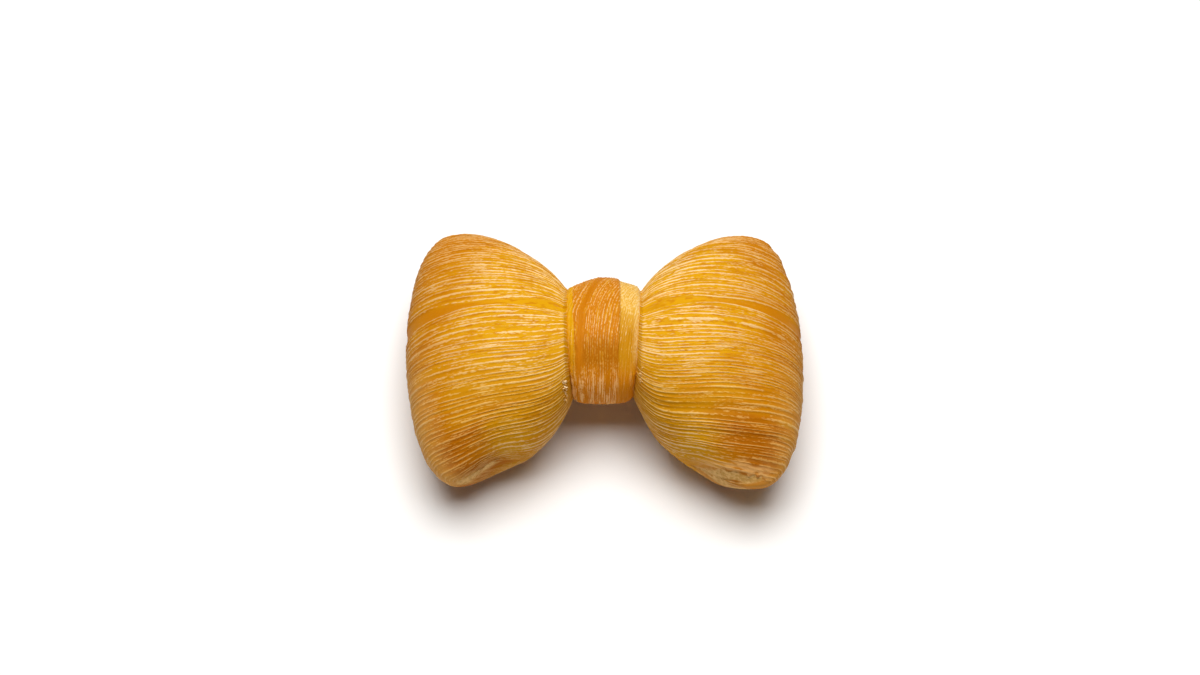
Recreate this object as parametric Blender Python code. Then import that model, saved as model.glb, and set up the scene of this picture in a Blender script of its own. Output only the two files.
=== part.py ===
"""Bow tie croissant: one pinched bow of laminated dough, and the dough band wrapped round its waist.

The bow lies along X, with its folded ends at -X and +X, and rests on the flat undersides of its lobes.
Lengths here are in millimetres, scaled to metres when a mesh is made. Near is -Y and far is +Y.
"""
import math

import bmesh
import bpy
import numpy as np

MM = 0.001

# The bow's plan, measured from the middle of the waist.
REACH = 63.5            # to the outer end of a lobe
CORNER_REACH = {-1: (36.1, 38.2), 1: (40.5, 39.5)}     # to the end curve's near and far corners
END_POWER = {-1: (2.2, 2.0), 1: (2.05, 2.09)}     # its roundness near and far, where 2 is an ellipse
SKEW = {-1: 3.1, 1: -0.6}     # each hand-folded end leans: its far side reaches this much out or in

# The bow's cross section is a superellipse that swells from the waist to the lobe.
SECTION_POWER = 2.12
WAIST_HALF_DEPTH = 23.0
LOBE_HALF_DEPTH = 46.5
DEPTH_SWELL_END = 50.3
WAIST_TOP = 43.5
LOBE_TOP = 46.0
TOP_SWELL_END = 37.0
WAIST_MIDDLE = 24.6
LOBE_MIDDLE = 19.5
END_MIDDLE = 22.5
WAIST_BOTTOM = 13.0
BOTTOM_DROP_END = 41.5
PINCH_RUN = 5.0         # the last stretch beside the band is squeezed harder
PINCH_SIDE = 1.1
PINCH_BOTTOM = 2.8
END_BLUNTNESS = 3.2     # how late the top of the lobe falls to the folded end
FOOT_BLUNTNESS = 6.0    # the same for the underside
FOOT_PRESS = 1.12       # the underside is pressed flat on the tray by this factor
FLATTENED = {-1: (5.6, 33.5, 9.5), 1: (2.5, 29.5, 7.0)}    # near side: how much, around which X, how far
FLATTENED_LATE = 6      # how late on the way to the widest line it sets in

# The laminated sheet over the top of the plain dough.
WRAP_ANGLE = 44.7       # how far it is drawn in below the widest line at the waist, in degrees
SHEET_EDGES = {-1: (-0.93, 0.96), 1: (-0.87, 0.96)}   # near and far edge, as shares of its half width
SHEET_LIP = 0.8         # the sheet stands off the plain dough by this much
LIP_STEP = 0.006        # the share over which its edge steps down

# The band, and the groove that it sits in.
GROOVE_HALF_WIDTH = 12.5
BAND_SHIFT = 3.5        # the band sits towards the far side of the waist
BAND_MIDDLE = 29.0
BAND_HALF_DEPTH = 21.0
BAND_HALF_HEIGHT = 16.0
BAND_POWER = 2.3
BAND_THICK = 5.0
BAND_CROWN = 2.4        # its long edges lie this much lower than its middle
BAND_ROUND = 1.2
BAND_WIDEST = 60.0      # where round the waist it is widest, in degrees from the far side upwards
BAND_NARROWING = 0.2    # the share of its width that it loses on the opposite side
LEDGE_START = 6.0       # the strip along its +X edge, from this X on, lies lower than the rest
LEDGE_DROP = 0.9
LEDGE_RUN = 0.5
GAP = 0.3

# How finely the surfaces are divided.
LOBE_STATIONS = 20
SHEET_STEPS = 26
BAND_STEPS = 72
FACE_STEPS = 7
LEDGE_STEPS = 3
ROUND_STEPS = 3

BOW_COLOUR = (0.62, 0.30, 0.065, 1.0)
BAND_COLOUR = (0.50, 0.19, 0.045, 1.0)


def clear_scene():
    for thing in list(bpy.data.objects):
        bpy.data.objects.remove(thing, do_unlink=True)


def dough(name, colour):
    """A matt baked dough."""
    material = bpy.data.materials.new(name)
    material.use_nodes = True
    shader = material.node_tree.nodes["Principled BSDF"]
    shader.inputs["Base Color"].default_value = colour
    shader.inputs["Roughness"].default_value = 0.6
    shader.inputs["Metallic"].default_value = 0.0
    return material


def signed_power(value, power):
    """Raise the size of each value to a power and keep its sign."""
    return np.sign(value) * np.abs(value) ** power


def superellipse(angle, half_depth, up, down, power):
    """Y and Z of a section about its middle, with its own height above and depth below."""
    reach = np.where(np.sin(angle) > 0.0, up, down)
    y = half_depth * signed_power(np.cos(angle), 2.0 / power)
    z = reach * signed_power(np.sin(angle), 2.0 / power)
    return y, z


def grown(x, end, power=2.0):
    """0 at the groove and 1 from x = end on, growing fastest beside the groove."""
    share = np.clip((x - GROOVE_HALF_WIDTH) / (end - GROOVE_HALF_WIDTH), 0.0, 1.0)
    return 1.0 - (1.0 - share) ** power


def ring_shares(side):
    """Places across the sheet, from the near seam, -1, over the top to the far seam, 1.

    Each edge of the laminated sheet has two of them, close together, for its step.
    """
    near, far = SHEET_EDGES[side]
    over = np.linspace(near + LIP_STEP, far - LIP_STEP, SHEET_STEPS)
    return np.concatenate([[-1.0, near - LIP_STEP], over, [far + LIP_STEP, 1.0]])


def ring_angles(share, x):
    """The section's angles over the top, from near to far, then back under it to the near seam."""
    wrap = np.radians(WRAP_ANGLE) * (1.0 - grown(x, BOTTOM_DROP_END))
    over = np.pi / 2.0 - share * (np.pi / 2.0 + wrap)
    under = -np.pi / 2.0 + share * (np.pi / 2.0 - wrap)
    return np.concatenate([over, under[:, -2:0:-1]], axis=1)


def there_and_back(values):
    """Values across the sheet, followed by the same ones on the way back under it."""
    return np.concatenate([values, values[:, -2:0:-1]], axis=1)


def lobe(side):
    """One lobe as a grid of points: stations from the waist to the folded end, by a closed ring.

    Every station is a share of the way from the groove to the end's curve, so the lines along the
    sheet fan out from the waist and run round the fold to the underside. Over the top the section's
    height falls to nothing at the fold as the root of 1 - along ** bluntness, which makes it round.
    """
    share = ring_shares(side)[None, :]
    along = np.sin(np.linspace(0.0, 1.0, LOBE_STATIONS + 1) * np.pi / 2.0)[:, None]
    corner, power = (np.where(share < 0.0, *pair) for pair in (CORNER_REACH[side], END_POWER[side]))
    curve = (1.0 - np.abs(share) ** power) ** (1.0 / power)
    end = corner + (REACH - corner) * curve + SKEW[side] * share
    x_over = GROOVE_HALF_WIDTH + along * (end - GROOVE_HALF_WIDTH)
    angle = ring_angles(share, x_over)
    x = there_and_back(x_over)

    squeeze = 1.0 - grown(x, GROOVE_HALF_WIDTH + PINCH_RUN)
    swell = grown(x, DEPTH_SWELL_END)
    drop = grown(x, BOTTOM_DROP_END)
    half_depth = WAIST_HALF_DEPTH + (LOBE_HALF_DEPTH - WAIST_HALF_DEPTH) * swell - PINCH_SIDE * squeeze
    middle = WAIST_MIDDLE + (LOBE_MIDDLE - WAIST_MIDDLE) * drop + (END_MIDDLE - LOBE_MIDDLE) * along ** 3
    top = WAIST_TOP + (LOBE_TOP - WAIST_TOP) * grown(x, TOP_SWELL_END)
    bottom = WAIST_BOTTOM * (1.0 - drop) + PINCH_BOTTOM * squeeze

    near, far = SHEET_EDGES[side]
    bare = (share < near) | (share > far)
    bare = np.concatenate([bare, np.ones((1, share.size - 2), bool)], axis=1)
    inset = SHEET_LIP * bare * (1.0 - along ** 4)
    up = (top - middle - inset) * np.sqrt(1.0 - along ** END_BLUNTNESS)
    down = (middle - bottom) * FOOT_PRESS * np.sqrt(1.0 - along ** FOOT_BLUNTNESS)
    y, z = superellipse(angle, half_depth - inset, up, down, SECTION_POWER)
    flat, flat_middle, flat_reach = FLATTENED[side]
    bell = np.exp(-((x - flat_middle) / flat_reach) ** 2)
    y = y + flat * bell * np.maximum(-y / half_depth, 0.0) ** FLATTENED_LATE
    return np.stack([side * x, y, np.maximum(middle + z, 0.0)], axis=2)


def groove_ring(side):
    """The groove's section at one side of the band, a gap below the band's inner face."""
    share = ring_shares(side)[None, :]
    angle = ring_angles(share, np.full_like(share, GROOVE_HALF_WIDTH))
    inset = BAND_THICK + GAP
    height = BAND_HALF_HEIGHT - inset
    y, z = superellipse(angle, BAND_HALF_DEPTH - inset, height, height, BAND_POWER)
    x = np.full_like(y, side * GROOVE_HALF_WIDTH)
    return np.stack([x, BAND_SHIFT + y, BAND_MIDDLE + z], axis=2)


def bow_points():
    """Rings from the left end through the groove to the right end."""
    return np.concatenate([lobe(-1)[::-1], groove_ring(-1), groove_ring(1), lobe(1)])


def band_profile():
    """The band's own section: X along the bow, and depth below its outer face, as a closed outline."""
    half = GROOVE_HALF_WIDTH - GAP
    turn = np.linspace(0.0, np.pi / 2.0, ROUND_STEPS + 1)[:-1]
    edge = half - BAND_ROUND * (1.0 - np.cos(turn))
    rounding = BAND_ROUND * (1.0 - np.sin(turn))
    face = np.linspace(BAND_ROUND - half, LEDGE_START, FACE_STEPS)
    ledge = np.linspace(LEDGE_START + LEDGE_RUN, half - BAND_ROUND, LEDGE_STEPS)
    x = np.concatenate([-edge, face, ledge, edge[::-1]])
    depth = BAND_CROWN * (x / half) ** 2 + LEDGE_DROP * (x > LEDGE_START)
    depth[:ROUND_STEPS] += rounding
    depth[-ROUND_STEPS:] += rounding[::-1]
    inner_x = np.array([half, 0.0, -half])
    inner_depth = np.full(3, BAND_THICK)
    return np.concatenate([x, inner_x]), np.concatenate([depth, inner_depth])


def band_points():
    """The profile carried round the waist, each depth on its own superellipse.

    The band's width falls from its widest line to the opposite one as a cosine of the angle between.
    """
    profile_x, depth = band_profile()
    angle = np.linspace(0.0, 2.0 * np.pi, BAND_STEPS, endpoint=False)[:, None]
    narrowed = BAND_NARROWING * (1.0 - np.cos(angle - np.radians(BAND_WIDEST))) / 2.0
    height = BAND_HALF_HEIGHT - depth
    y, z = superellipse(angle, BAND_HALF_DEPTH - depth, height, height, BAND_POWER)
    x = profile_x * (1.0 - narrowed)
    return np.stack([x, BAND_SHIFT + y, BAND_MIDDLE + z], axis=2)


def ring_faces(rows, columns, closed):
    """Quads between neighbouring rings, and between the last and the first where it is closed."""
    faces = []
    for row in range(rows if closed else rows - 1):
        following = (row + 1) % rows
        for column in range(columns):
            beside = (column + 1) % columns
            corners = ((row, column), (row, beside), (following, beside), (following, column))
            faces.append([r * columns + c for r, c in corners])
    return faces


def solid(name, points, closed, material, origin):
    """One closed solid from a grid of points, with the points that meet at a fold merged."""
    rows, columns, _ = points.shape
    mesh = bpy.data.meshes.new(name)
    vertices = (points.reshape(-1, 3) - origin) * MM
    mesh.from_pydata(vertices.tolist(), [], ring_faces(rows, columns, closed))
    shape = bmesh.new()
    shape.from_mesh(mesh)
    bmesh.ops.remove_doubles(shape, verts=shape.verts, dist=0.001 * MM)
    bmesh.ops.recalc_face_normals(shape, faces=shape.faces)
    shape.to_mesh(mesh)
    shape.free()
    mesh.shade_smooth()
    mesh.set_sharp_from_angle(angle=math.radians(40.0))
    mesh.materials.append(material)
    thing = bpy.data.objects.new(name, mesh)
    bpy.context.scene.collection.objects.link(thing)
    return thing


def ground_centre(grids):
    """The middle of the lowest face of the box around all the points."""
    points = np.concatenate([grid.reshape(-1, 3) for grid in grids])
    low, high = points.min(axis=0), points.max(axis=0)
    return np.array([(low[0] + high[0]) / 2.0, (low[1] + high[1]) / 2.0, low[2]])


def main():
    clear_scene()
    bow, band = bow_points(), band_points()
    origin = ground_centre([bow, band])
    solid("bow", bow, False, dough("bow_dough", BOW_COLOUR), origin)
    solid("band", band, True, dough("band_dough", BAND_COLOUR), origin)


main()
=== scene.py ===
# %% [markdown]
# # A bow tie croissant
#
# A bow tie croissant is one rectangle of laminated dough, pinched in the middle and held by a band.
# Its two lobes puff up in the oven. The sheet on top was cut across its layers, so the layers' edges
# show as fine ridges. They leave the waist together, fan out over the lobe and turn under at the end.
#
# The packed model gives the true size. Everything below is worked out from its two solids.

import math
from types import SimpleNamespace

import bpy
import numpy as np
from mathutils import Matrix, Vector


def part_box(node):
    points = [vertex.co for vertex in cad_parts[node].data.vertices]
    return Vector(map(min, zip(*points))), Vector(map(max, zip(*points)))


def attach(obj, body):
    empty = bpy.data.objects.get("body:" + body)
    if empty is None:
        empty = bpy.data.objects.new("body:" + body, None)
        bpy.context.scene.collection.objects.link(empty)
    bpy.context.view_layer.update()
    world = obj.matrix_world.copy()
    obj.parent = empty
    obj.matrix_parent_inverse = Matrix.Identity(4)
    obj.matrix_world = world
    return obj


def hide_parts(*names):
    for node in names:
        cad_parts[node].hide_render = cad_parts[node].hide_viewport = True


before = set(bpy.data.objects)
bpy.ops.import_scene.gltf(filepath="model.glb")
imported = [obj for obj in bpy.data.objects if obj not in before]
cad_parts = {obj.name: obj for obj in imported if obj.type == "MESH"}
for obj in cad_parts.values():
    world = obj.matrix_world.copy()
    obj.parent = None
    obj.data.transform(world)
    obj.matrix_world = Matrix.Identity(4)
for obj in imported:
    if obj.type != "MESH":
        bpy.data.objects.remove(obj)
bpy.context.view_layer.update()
MM = 0.001

bow_low, bow_high = (np.array(corner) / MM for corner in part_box("bow"))
band_low, band_high = (np.array(corner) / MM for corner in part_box("band"))
print("bow", np.round(bow_high - bow_low, 1), "mm, band", np.round(band_high - band_low, 1), "mm")

# %% [markdown]
# ## The camera
#
# The camera comes first, because every later choice is judged through it. It stands in front of the
# bow and looks steeply down. A long lens from three quarters of a metre keeps the bow's far edge
# nearly as large as its near edge. It aims a little beyond the bow, so the bow sits low in the frame.

# %% Camera
VIEW_ELEVATION = math.radians(62.1)
VIEW_DISTANCE = 750.0
LENS = 68.0
AIM_BEYOND = 17.7       # along the frame's upright direction
AIM_ASIDE = -1.4


def make_camera():
    """Look along the view direction at a point beside the origin, measured in the view's plane."""
    back = Vector((0.0, -math.cos(VIEW_ELEVATION), math.sin(VIEW_ELEVATION)))
    upright = Vector((0.0, math.sin(VIEW_ELEVATION), math.cos(VIEW_ELEVATION)))
    place = back * VIEW_DISTANCE * MM
    aim = (upright * AIM_BEYOND + Vector((AIM_ASIDE, 0.0, 0.0))) * MM
    camera = bpy.data.objects.new("camera", bpy.data.cameras.new("camera"))
    camera.data.lens = LENS
    camera.data.clip_start = 0.01
    camera.location = place
    camera.rotation_euler = (aim - place).to_track_quat("-Z", "Y").to_euler()
    bpy.context.scene.collection.objects.link(camera)
    bpy.context.scene.camera = camera
    return camera


camera = make_camera()
print("camera at", np.round(np.array(camera.location), 3), "lens", camera.data.lens)

# %% [markdown]
# ## From arrays to meshes
#
# Each piece of dough is a grid of points, so one helper turns any grid into a mesh. Points that
# belong together, such as both sides of a seam, are given the same number before the mesh is made.
# The grid also carries values that the materials read later: how far a point lies along its layer,
# which layer it is on, and masks such as the height of the ridge.

# %% Grid to mesh


def weld(numbers):
    """Renumber points so that only the ones still in use are counted, from 0 up."""
    used, renumbered = np.unique(numbers, return_inverse=True)
    return used, renumbered.reshape(numbers.shape)


def quads(numbers):
    """The four corners of every cell between neighbouring rows and columns of point numbers."""
    cells = np.stack([numbers[:-1, :-1], numbers[:-1, 1:], numbers[1:, 1:], numbers[1:, :-1]], axis=2)
    return cells.reshape(-1, 4)


def mesh_piece(name, points, faces, uv, masks):
    """A smooth-shaded object from points in millimetres, quad corners, a UV pair and masks per point."""
    mesh = bpy.data.meshes.new(name)
    mesh.vertices.add(len(points))
    mesh.vertices.foreach_set("co", (points * MM).astype(np.float32).ravel())
    mesh.loops.add(faces.size)
    mesh.loops.foreach_set("vertex_index", faces.astype(np.int32).ravel())
    mesh.polygons.add(len(faces))
    starts = np.arange(0, faces.size, faces.shape[1], dtype=np.int32)
    mesh.polygons.foreach_set("loop_start", starts)
    mesh.update(calc_edges=True)
    mesh.validate()
    layer = mesh.uv_layers.new(name="UVMap")
    layer.data.foreach_set("uv", uv[faces.ravel()].astype(np.float32).ravel())
    for mask, values in masks.items():
        held = mesh.attributes.new(mask, "FLOAT", "POINT")
        held.data.foreach_set("value", values.astype(np.float32).ravel())
    mesh.shade_smooth()
    piece = bpy.data.objects.new(name, mesh)
    bpy.context.scene.collection.objects.link(piece)
    print(name, len(points), "points", 2 * len(faces), "triangles")
    return piece


# %% [markdown]
# ## Soft randomness
#
# Dough is never even. A sum of sine waves with random directions and phases gives a smooth random
# field over a whole array at once, and the same one on every run. A second kind gives each layer
# its own random wave along its length, so neighbouring layers rise, fade and brown on their own.

# %% Random fields


def soft_field(u, v, reach_u, reach_v, seed, waves=14):
    """A smooth field around 0, mostly within 2: a sum of sines, scaled to a mean square of 1.

    The sines run in random directions. They are near reach_u long along u and reach_v along v.
    """
    rng = np.random.default_rng(seed)
    total = np.zeros(np.broadcast(u, v).shape)
    for _ in range(waves):
        turn, phase = rng.uniform(0.0, 2.0 * np.pi, 2)
        size = rng.uniform(0.6, 1.5)
        waved = u * np.cos(turn) / reach_u + v * np.sin(turn) / reach_v
        total += np.sin(2.0 * np.pi * size * waved + phase)
    return total / math.sqrt(waves / 2.0)


def layer_field(layer, u, reach, seed, waves=5):
    """A field around 0 that runs smoothly along u and differs from one layer to the next."""
    rng = np.random.default_rng(seed)
    count = int(layer.max()) + 1
    total = np.zeros(np.broadcast(layer, u).shape)
    for _ in range(waves):
        phase = rng.uniform(0.0, 2.0 * np.pi, count)[layer]
        size = rng.uniform(0.4, 1.6, count)[layer]
        total += np.sin(2.0 * np.pi * u * size / reach + phase)
    return total / math.sqrt(waves / 2.0)


def ease(value, low, high):
    """0 below low and 1 above high, with a smooth S between: 3 x squared minus 2 x cubed."""
    x = np.clip((value - low) / (high - low), 0.0, 1.0)
    return x * x * (3.0 - 2.0 * x)


def bump(value, middle, width):
    """1 at the middle, falling off on both sides as a bell of the given width."""
    return np.exp(-((value - middle) / width) ** 2)


sample = soft_field(np.linspace(0.0, 500.0, 200)[:, None], np.linspace(0.0, 500.0, 200), 70.0, 55.0, 1)
print("a soft field's mean square is", round(float(np.mean(sample ** 2)), 2))

# %% [markdown]
# ## The shape of a lobe
#
# Across the bow the section is a superellipse, a rounder or squarer relative of the ellipse. It
# swells from the pinched waist to the full lobe. Along the bow, a layer's edge starts at the waist
# and ends on the curve of the folded end. So two parameters place every point: its share across the
# sheet, from -1 near to 1 far, and how far along it lies between the waist and the fold.
#
# The same sheet runs over the top, round the fold and back underneath. That makes one long grid per
# lobe, and the fold needs no seam. The spacing across is evened out, because equal angles would
# crowd the layers at the sides of a flat section and spread them on its top. The near side is
# flattened towards the waist, where the hands pressed while they laid the band on.

# %% Lobe sizes
GROOVE = (band_high[0] - band_low[0]) / 2.0 + 0.3
BAND_ASIDE = -0.4       # the band was pressed on a little left of the middle
REACH = (bow_high[0] - bow_low[0]) / 2.0
CORNER_REACH = {-1: (36.1, 38.2), 1: (40.5, 39.5)}      # near, far
END_POWER = {-1: (2.2, 2.0), 1: (2.05, 2.09)}           # near, far
SKEW = {-1: 3.1, 1: -0.6}
SECTION_POWER = 2.12
LOBE_HALF_DEPTH = (bow_high[1] - bow_low[1]) / 2.0 + 0.2
LOBE_TOP = bow_high[2] - bow_low[2] + 0.6
WAIST_HALF_DEPTH, WAIST_TOP, WAIST_MIDDLE, WAIST_BOTTOM = 23.0, 43.5, 24.6, 13.0
LOBE_MIDDLE, END_MIDDLE = 19.5, 22.5
DEPTH_SWELL_END, TOP_SWELL_END, BOTTOM_DROP_END = 50.3, 37.0, 41.5
DEPTH_SWELL_POWER = 2.14
TOP_FOLD_POWER, FOOT_FOLD_POWER, FOOT_FULLNESS = 3.2, 6.0, 1.12
PINCH_RUN, PINCH_SIDE, PINCH_BOTTOM = 5.0, 1.1, 2.8
WRAP_ANGLE = math.radians(44.7)
EVENNESS = 0.27
NARROWING, NARROWED_BEHIND, NARROWING_RUN = 0.2, math.radians(60.0), 0.25
FLATTENED = {-1: (5.6, 33.5, 9.5), 1: (2.5, 29.5, 7.0)}     # by this much, around this X, this far each way
FLATTENED_LATE = 6      # how late on the way to the widest line it sets in
print("a lobe is", round(2.0 * LOBE_HALF_DEPTH, 1), "mm deep and", round(LOBE_TOP, 1), "mm high")

# %% Lobe shape


def signed_power(value, power):
    """The value raised to a power, with its sign kept."""
    return np.sign(value) * np.abs(value) ** power


def superellipse(angle, half_depth, up, down, power):
    """Y and Z about the section's middle: cosine and sine raised to 2 / power, times the half sizes."""
    reach = np.where(np.sin(angle) > 0.0, up, down)
    y = half_depth * signed_power(np.cos(angle), 2.0 / power)
    return y, reach * signed_power(np.sin(angle), 2.0 / power)


def grown(x, end, power=2.0):
    """0 at the groove, less inside it, and 1 from x = end on: 1 minus the missing share to a power."""
    share = np.minimum((x - GROOVE) / (end - GROOVE), 1.0)
    return 1.0 - (1.0 - share) ** power


def band_narrowing(angle):
    """The share of its width that the band loses towards the near underside, as a cosine."""
    return NARROWING * (1.0 - np.cos(angle - NARROWED_BEHIND)) / 2.0


def sheet_angle(share, x, over):
    """The section angle of a share of the sheet: straight up at 0, drawn in past level at the waist."""
    evened = share - EVENNESS * grown(x, DEPTH_SWELL_END) * np.sin(np.pi * share) / np.pi
    wrap = WRAP_ANGLE * (1.0 - grown(x, BOTTOM_DROP_END))
    return np.where(over, np.pi / 2.0 - evened * (np.pi / 2.0 + wrap),
                    evened * (np.pi / 2.0 - wrap) - np.pi / 2.0)


def lobe_surface(side, share, along, over, rise=0.0):
    """Points of a lobe for arrays of share and along, over the top or underneath it.

    Height above the middle falls towards the fold as the root of 1 - along ** 3.2, and depth below
    it as the root of 1 - along ** 6, so the fold is round and the foot reaches further out. Rise
    lifts the points off the dough.
    """
    corner, power = (np.where(share < 0.0, *pair) for pair in (CORNER_REACH[side], END_POWER[side]))
    curve = np.clip(1.0 - np.abs(share) ** power, 0.0, 1.0) ** (1.0 / power)
    end = corner + (REACH - corner) * curve + SKEW[side] * share
    narrowing = band_narrowing(sheet_angle(share, GROOVE, over)) * bump(along, 0.0, NARROWING_RUN)
    start = GROOVE * (1.0 - narrowing) + side * BAND_ASIDE
    x = start + along * (end - start)
    squeeze = 1.0 - grown(x, GROOVE + PINCH_RUN)
    drop = grown(x, BOTTOM_DROP_END)
    swell = grown(x, DEPTH_SWELL_END, DEPTH_SWELL_POWER)
    half_depth = WAIST_HALF_DEPTH + (LOBE_HALF_DEPTH - WAIST_HALF_DEPTH) * swell - PINCH_SIDE * squeeze
    middle = WAIST_MIDDLE + (LOBE_MIDDLE - WAIST_MIDDLE) * drop + (END_MIDDLE - LOBE_MIDDLE) * along ** 3
    top = WAIST_TOP + (LOBE_TOP - WAIST_TOP) * grown(x, TOP_SWELL_END)
    bottom = WAIST_BOTTOM * (1.0 - drop) + PINCH_BOTTOM * squeeze
    up = (top - middle + rise) * np.sqrt(1.0 - along ** TOP_FOLD_POWER)
    down = (middle - bottom) * FOOT_FULLNESS * np.sqrt(1.0 - along ** FOOT_FOLD_POWER)
    y, z = superellipse(sheet_angle(share, x, over), half_depth + rise, up, down, SECTION_POWER)
    flat, flat_middle, flat_reach = FLATTENED[side]
    y = y + flat * bump(x, flat_middle, flat_reach) * np.maximum(-y / half_depth, 0.0) ** FLATTENED_LATE
    return np.stack([side * x, y, middle + z], axis=2)


fold = lobe_surface(1, np.zeros((1, 1)), np.ones((1, 1)), True)[0, 0]
print("the right fold lies at", np.round(fold, 1), "mm")

# %% [markdown]
# ## The layers on the sheet
#
# The cut edges of the layers are about 1.4 mm apart and uneven. The grid's columns are laid along
# them: each layer gets five columns, three of them close together on its crest. So a crest stays
# crisp however few columns there are, and it can wander, because the columns wander with it. Layers
# have random widths, and one broad smooth layer runs along each lobe just behind its middle.

# %% Layer columns
LAYERS = 76
BROAD_SHARE = {-1: 0.138, 1: 0.158}
BROAD_LAYER_WIDTH = 1.8
LAYER_PHASES = np.array([-0.5, -0.22, -0.07, 0.07, 0.22])
NEAR_EDGE = {-1: -0.955, 1: -0.91}
FAR_EDGE = 0.965
EDGE_GAP = 0.004
BARE_COLUMNS = 12


def random_widths(seed, count, spread, narrowest, widest):
    """Widths of layers about 1: e raised to a normal draw, kept within two limits."""
    rng = np.random.default_rng(seed)
    return np.clip(np.exp(rng.normal(0.0, spread, count)), narrowest, widest)


def layer_columns(side):
    """For every column: its share, its layer's number, its place in the layer, and if it is bare."""
    span = FAR_EDGE - NEAR_EDGE[side]
    widths = random_widths(11 + side, LAYERS, 0.36, 0.5, 1.9)
    middles = (np.cumsum(widths) - widths / 2.0) / widths.sum() * span + NEAR_EDGE[side]
    broad = int(np.argmin(np.abs(middles - BROAD_SHARE[side])))
    widths[broad] = BROAD_LAYER_WIDTH
    edges = np.concatenate([[0.0], np.cumsum(widths)]) / widths.sum()
    edges = NEAR_EDGE[side] + edges * span
    layer = np.repeat(np.arange(LAYERS), len(LAYER_PHASES))
    phase = np.tile(LAYER_PHASES, LAYERS)
    share = edges[layer] + (phase + 0.5) * (edges[layer + 1] - edges[layer])
    near = np.linspace(-1.0, NEAR_EDGE[side] - EDGE_GAP, BARE_COLUMNS)
    far = np.linspace(FAR_EDGE + EDGE_GAP, 1.0, BARE_COLUMNS // 3)
    share = np.concatenate([near, share, far])
    layer = np.concatenate([np.zeros(len(near), int), layer, np.full(len(far), LAYERS - 1)])
    phase = np.concatenate([np.full(len(near), -0.5), phase, np.full(len(far), -0.5)])
    bare = np.concatenate([np.ones(len(near)), np.zeros(LAYERS * len(LAYER_PHASES)), np.ones(len(far))])
    return share, layer, phase, bare, broad


for side in (-1, 1):
    columns = layer_columns(side)
    print("side", side, len(columns[0]), "columns, broad layer", columns[4])

# %% [markdown]
# ## Where the layers lie along the lobe
#
# Layers don't keep their distances. They wander a little, and they are gathered at the waist and
# again at the fold. The broad layer is wide at the waist, thin in the middle and wide again at the
# fold, so it pushes its neighbours aside there. The sheet's near edge has drawn back over a stretch
# and lets the plain dough show, more on the right lobe than on the left.

# %% Layer routes
STATIONS = 96
SHEET_HALF = 60.0       # mm across the sheet from its middle to an edge
SEAM_POWER = 24
WANDER, SHIVER = 0.0055, 0.0005
GATHERED = {-1: (0.34, 0.39), 1: (0.13, 0.33)}          # at the waist: near, far
DRAWN_TOGETHER = {-1: (0.13, 0.03), 1: (0.24, 0.18)}    # at the fold: near, far
GATHER_POWER = 2.9
FAR_SHIFT = {-1: 0.030, 1: 0.0}
FOLD_SHIFT = 0.035
NEAR_TURN = {-1: 0.65, 1: 0.0}
END_TURN = {-1: 0.0, 1: 0.035}
BROAD_SPREAD, BROAD_REACH = 0.026, 0.05
BROAD_WAVE_START, BROAD_WAVE = 0.06, 0.88
DRAWN_BACK = {-1: (0.02, 47.0, 9.0), 1: (0.04, 43.5, 10.0)}     # this share, around this X, this far
FRAYED_EDGE, FRAYED_REACH = 0.004, 0.18


def lobe_rows(side):
    """Rows over the top to the fold and back underneath: place along, on top or not, and mm run."""
    turn = np.linspace(0.0, np.pi / 2.0, STATIONS)
    along = np.sin(np.concatenate([turn, turn[-2::-1]]))[:, None]
    over = (np.arange(len(along)) < STATIONS)[:, None]
    spine = lobe_surface(side, np.zeros((1, 1)), along, over)[:, 0]
    steps = np.linalg.norm(np.diff(spine, axis=0), axis=1)
    return along, over, np.concatenate([[0.0], np.cumsum(steps)])[:, None]


def seam_fade(share):
    """1 over the sheet, dropping to 0 at its two seams: 1 minus a high power of the share."""
    return 1.0 - np.abs(share) ** SEAM_POWER


def broad_swell(share, along, broad):
    """Shares pushed away from the broad layer, by a cosine along it times a falling bell across."""
    off = (share - share[0, broad]) / BROAD_REACH
    wave = np.cos(2.0 * np.pi * (along - BROAD_WAVE_START) / BROAD_WAVE)
    return BROAD_SPREAD * wave * off * np.exp(-off ** 2)


def routed_share(side, share, along, distance, x, broad):
    """Shares that wander, are gathered at both ends, spread about the broad layer and drawn back."""
    wander = WANDER * soft_field(distance, share * SHEET_HALF, 80.0, 22.0, 21 + side)
    wander += SHIVER * soft_field(distance, share * SHEET_HALF, 15.0, 4.0, 31 + side)
    placed = share + wander * (1.0 - share ** 6) * ease(along, 0.0, 0.15)
    waist, fold = (1.0 - along) ** GATHER_POWER, along ** 2
    together = np.where(share < 0.0, *DRAWN_TOGETHER[side]) + NEAR_TURN[side] * np.minimum(share + 0.4, 0.0)
    gathered = np.where(share < 0.0, *GATHERED[side]) * waist + together * fold
    placed -= (gathered * share + FOLD_SHIFT * along ** 3 - FAR_SHIFT[side] * waist) * (1.0 - share ** 2)
    placed -= END_TURN[side] * along ** 7 * bump(share, -0.25, 0.3)
    back, middle, reach = DRAWN_BACK[side]
    frayed = FRAYED_EDGE * soft_field(distance, 0.0 * share, 13.0, 1.0, 41 + side)
    frayed = frayed + back * bump(x, middle, reach)
    placed = placed + broad_swell(share, along, broad)
    return placed + frayed * bump(share, NEAR_EDGE[side], FRAYED_REACH) * seam_fade(share)


print("the sheet runs", round(float(lobe_rows(1)[2][-1, 0]), 1), "mm over the right lobe and back")

# %% [markdown]
# ## One lobe's sheet
#
# The next steps all need the same arrays: where each grid point lies on the sheet, which layer it is
# on and how far it has run. They are worked out once and kept under one name. Rows are stations
# along the lobe and columns are places across it.

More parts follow.
